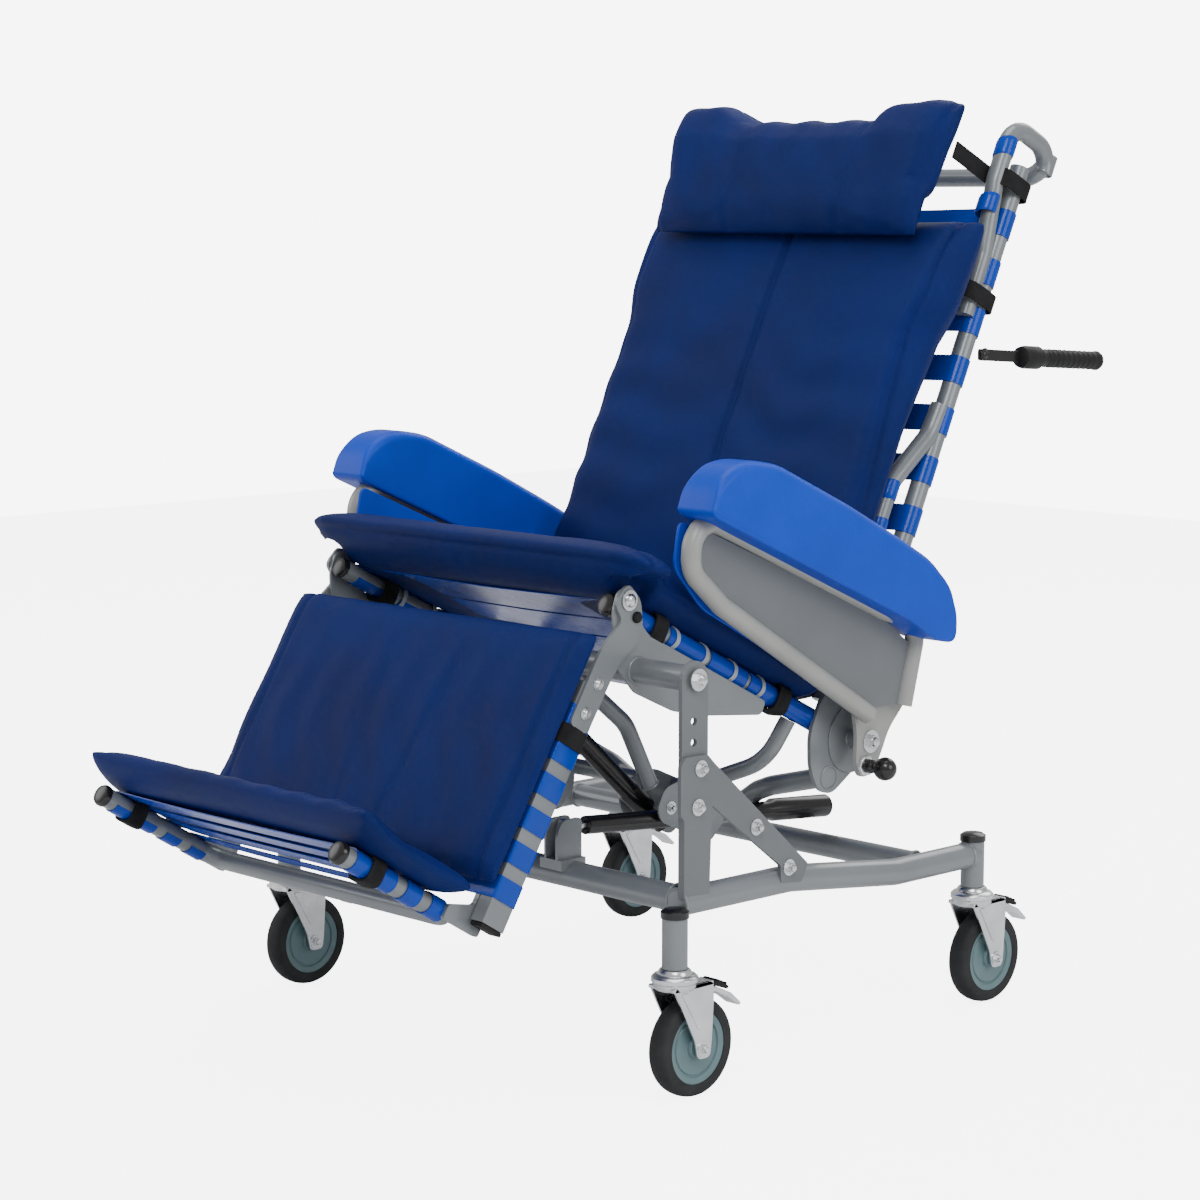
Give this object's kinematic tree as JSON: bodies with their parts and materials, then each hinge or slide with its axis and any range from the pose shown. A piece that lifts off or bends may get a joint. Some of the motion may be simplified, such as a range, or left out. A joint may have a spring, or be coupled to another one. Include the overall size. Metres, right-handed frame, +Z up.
{
  "type": "patient recliner chair",
  "caption": "Wheeled patient recliner: tube frame on braked casters, tilting seat, reclining back, lifting leg rest, sliding foot rest, swing-up arms, blue cushions.",
  "frame": {"origin": "middle of the bounding box's footprint, on the floor", "axes": "+Z up, the sitter faces -Y, the sitter's left is +X"},
  "size_m": [0.8086, 1.3576, 1.2306],
  "materials": {
    "frame_paint": "light grey satin powder coat",
    "zinc": "bright zinc plate",
    "black_plastic": "black moulded plastic",
    "lock_black": "black sleeve",
    "wheel": "grey hub with a dark tread",
    "pad_skin": "bright blue self-skinned foam",
    "strap": "glossy blue coated webbing",
    "cushion": "navy blue coated fabric"
  },
  "bodies": {
    "base": {"side_rail_left": "frame_paint", "side_rail_right": "frame_paint", "front_cross_tube": "frame_paint", "rear_cross_tube": "frame_paint", "upright_left": "frame_paint", "upright_right": "frame_paint", "tilt_bolt_left": "zinc", "tilt_bolt_right": "zinc", "tilt_clevis": "frame_paint"},
    "seat": {"seat_tube_left": "frame_paint", "seat_tube_right": "frame_paint", "seat_side_sheet_left": "frame_paint", "seat_side_sheet_right": "frame_paint", "torque_tube": "frame_paint", "lock_hoop": "frame_paint", "recline_pin_left": "zinc", "recline_pin_right": "zinc", "seat_sling": "strap", "seat_cushion": "cushion"},
    "back": {"back_side_left": "frame_paint", "back_side_right": "frame_paint", "push_bar": "frame_paint", "bowed_tube": "frame_paint", "back_sling": "strap", "back_cushion": "cushion", "head_cushion": "cushion", "handle_left": "black_plastic", "handle_right": "black_plastic"},
    "leg_rest": {"leg_side_left": "frame_paint", "leg_side_right": "frame_paint", "leg_ladder": "frame_paint", "calf_cushion": "cushion"},
    "foot_rest": {"foot_frame": "frame_paint", "foot_cushion": "cushion"},
    "arm_left": {"arm_frame_left": "frame_paint", "arm_liner_left": "pad_skin", "arm_pad_left": "pad_skin"},
    "knob_left": {"arm_knob_left": "black_plastic"},
    "arm_right": {"arm_frame_right": "frame_paint", "arm_liner_right": "pad_skin", "arm_pad_right": "pad_skin"},
    "knob_right": {"arm_knob_right": "black_plastic"},
    "tilt_lock": {"tilt_lock_body": "lock_black"},
    "tilt_rod": {"tilt_lock_rod": "zinc"},
    "leg_lock": {"leg_lock_body": "lock_black"},
    "leg_rod": {"leg_lock_rod": "zinc"},
    "recline_lock": {"recline_lock_body": "lock_black"},
    "recline_rod": {"recline_lock_rod": "zinc"},
    "caster_front_left": {"caster_fork_front_left": "zinc"},
    "roller_front_left": {"wheel_front_left": "wheel"},
    "pedal_front_left": {"brake_pedal_front_left": "black_plastic"},
    "caster_front_right": {"caster_fork_front_right": "zinc"},
    "roller_front_right": {"wheel_front_right": "wheel"},
    "pedal_front_right": {"brake_pedal_front_right": "black_plastic"},
    "caster_rear_left": {"caster_fork_rear_left": "zinc"},
    "roller_rear_left": {"wheel_rear_left": "wheel"},
    "pedal_rear_left": {"brake_pedal_rear_left": "black_plastic"},
    "caster_rear_right": {"caster_fork_rear_right": "zinc"},
    "roller_rear_right": {"wheel_rear_right": "wheel"},
    "pedal_rear_right": {"brake_pedal_rear_right": "black_plastic"}
  },
  "joints": [
    {"name": "seat_tilt", "type": "hinge", "parent": "base", "child": "seat", "pos_m": [0, -0.23491, 0.513], "axis": [1, 0, 0], "range_deg": [0, 20]},
    {"name": "back_recline", "type": "hinge", "parent": "seat", "child": "back", "pos_m": [0, 0.15823, 0.38025], "axis": [-1, 0, 0], "range_deg": [0, 45]},
    {"name": "leg_lift", "type": "hinge", "parent": "seat", "child": "leg_rest", "pos_m": [0, -0.25591, 0.602], "axis": [-1, 0, 0], "range_deg": [0, 60]},
    {"name": "foot_slide", "type": "slide", "parent": "leg_rest", "child": "foot_rest", "axis": [0, -0.524, -0.8517], "range_m": [0, 0.075]},
    {"name": "arm_lift_left", "type": "hinge", "parent": "seat", "child": "arm_left", "pos_m": [0, 0.15823, 0.38025], "axis": [-1, 0, 0], "range_deg": [0, 80]},
    {"name": "knob_pull_left", "type": "slide", "parent": "arm_left", "child": "knob_left", "axis": [1, 0, 0], "range_m": [0, 0.006], "stiffness_N_per_m": 600},
    {"name": "arm_lift_right", "type": "hinge", "parent": "seat", "child": "arm_right", "pos_m": [0, 0.15823, 0.38025], "axis": [-1, 0, 0], "range_deg": [0, 80]},
    {"name": "knob_pull_right", "type": "slide", "parent": "arm_right", "child": "knob_right", "axis": [-1, 0, 0], "range_m": [0, 0.006], "stiffness_N_per_m": 600},
    {"name": "tilt_lock_swing", "type": "hinge", "parent": "seat", "child": "tilt_lock", "pos_m": [0.146, -0.00991, 0.28], "axis": [1, 0, 0], "range_deg": [-1.27, 0.3]},
    {"name": "tilt_rod_slide", "type": "slide", "parent": "tilt_lock", "child": "tilt_rod", "axis": [0, -0.9965, 0.083], "range_m": [-0.002, 0.0763]},
    {"name": "leg_lock_swing", "type": "hinge", "parent": "seat", "child": "leg_lock", "pos_m": [0.112, -0.07591, 0.306], "axis": [1, 0, 0], "range_deg": [-0.3, 3.5]},
    {"name": "leg_rod_slide", "type": "slide", "parent": "leg_lock", "child": "leg_rod", "axis": [0, -0.7435, 0.6688], "range_m": [-0.002, 0.1205]},
    {"name": "recline_lock_swing", "type": "hinge", "parent": "seat", "child": "recline_lock", "pos_m": [-0.112, -0.13791, 0.421], "axis": [1, 0, 0], "range_deg": [-0.3, 7.5]},
    {"name": "recline_rod_slide", "type": "slide", "parent": "recline_lock", "child": "recline_rod", "axis": [0, 0.8786, -0.4776], "range_m": [-0.0771, 0.002]},
    {"name": "swivel_front_left", "type": "hinge", "parent": "base", "child": "caster_front_left", "pos_m": [0.3753, -0.27191, 0.15], "axis": [0, 0, 1], "continuous": true},
    {"name": "roll_front_left", "type": "hinge", "parent": "caster_front_left", "child": "roller_front_left", "pos_m": [0.3753, -0.24441, 0.0625], "axis": [1, 0, 0], "continuous": true},
    {"name": "pedal_press_front_left", "type": "hinge", "parent": "caster_front_left", "child": "pedal_front_left", "pos_m": [0.3753, -0.22191, 0.133], "axis": [-1, 0, 0], "range_deg": [0, 14]},
    {"name": "swivel_front_right", "type": "hinge", "parent": "base", "child": "caster_front_right", "pos_m": [-0.3753, -0.27191, 0.15], "axis": [0, 0, 1], "continuous": true},
    {"name": "roll_front_right", "type": "hinge", "parent": "caster_front_right", "child": "roller_front_right", "pos_m": [-0.3753, -0.24441, 0.0625], "axis": [1, 0, 0], "continuous": true},
    {"name": "pedal_press_front_right", "type": "hinge", "parent": "caster_front_right", "child": "pedal_front_right", "pos_m": [-0.3753, -0.22191, 0.133], "axis": [-1, 0, 0], "range_deg": [0, 14]},
    {"name": "swivel_rear_left", "type": "hinge", "parent": "base", "child": "caster_rear_left", "pos_m": [0.3407, 0.33469, 0.15], "axis": [0, 0, 1], "continuous": true},
    {"name": "roll_rear_left", "type": "hinge", "parent": "caster_rear_left", "child": "roller_rear_left", "pos_m": [0.3407, 0.36219, 0.0625], "axis": [1, 0, 0], "continuous": true},
    {"name": "pedal_press_rear_left", "type": "hinge", "parent": "caster_rear_left", "child": "pedal_rear_left", "pos_m": [0.3407, 0.38469, 0.133], "axis": [-1, 0, 0], "range_deg": [0, 14]},
    {"name": "swivel_rear_right", "type": "hinge", "parent": "base", "child": "caster_rear_right", "pos_m": [-0.3407, 0.33469, 0.15], "axis": [0, 0, 1], "continuous": true},
    {"name": "roll_rear_right", "type": "hinge", "parent": "caster_rear_right", "child": "roller_rear_right", "pos_m": [-0.3407, 0.36219, 0.0625], "axis": [1, 0, 0], "continuous": true},
    {"name": "pedal_press_rear_right", "type": "hinge", "parent": "caster_rear_right", "child": "pedal_rear_right", "pos_m": [-0.3407, 0.38469, 0.133], "axis": [-1, 0, 0], "range_deg": [0, 14]}
  ],
  "couplings": [
    {"joint": "tilt_lock_swing", "follows": "seat_tilt", "ratio": -0.0483},
    {"joint": "tilt_rod_slide", "follows": "seat_tilt", "m_per_rad": 0.2129},
    {"joint": "leg_lock_swing", "follows": "leg_lift", "ratio": 0.0534},
    {"joint": "leg_rod_slide", "follows": "leg_lift", "m_per_rad": 0.11318},
    {"joint": "recline_lock_swing", "follows": "back_recline", "ratio": 0.1599},
    {"joint": "recline_rod_slide", "follows": "back_recline", "m_per_rad": -0.09563}
  ]
}
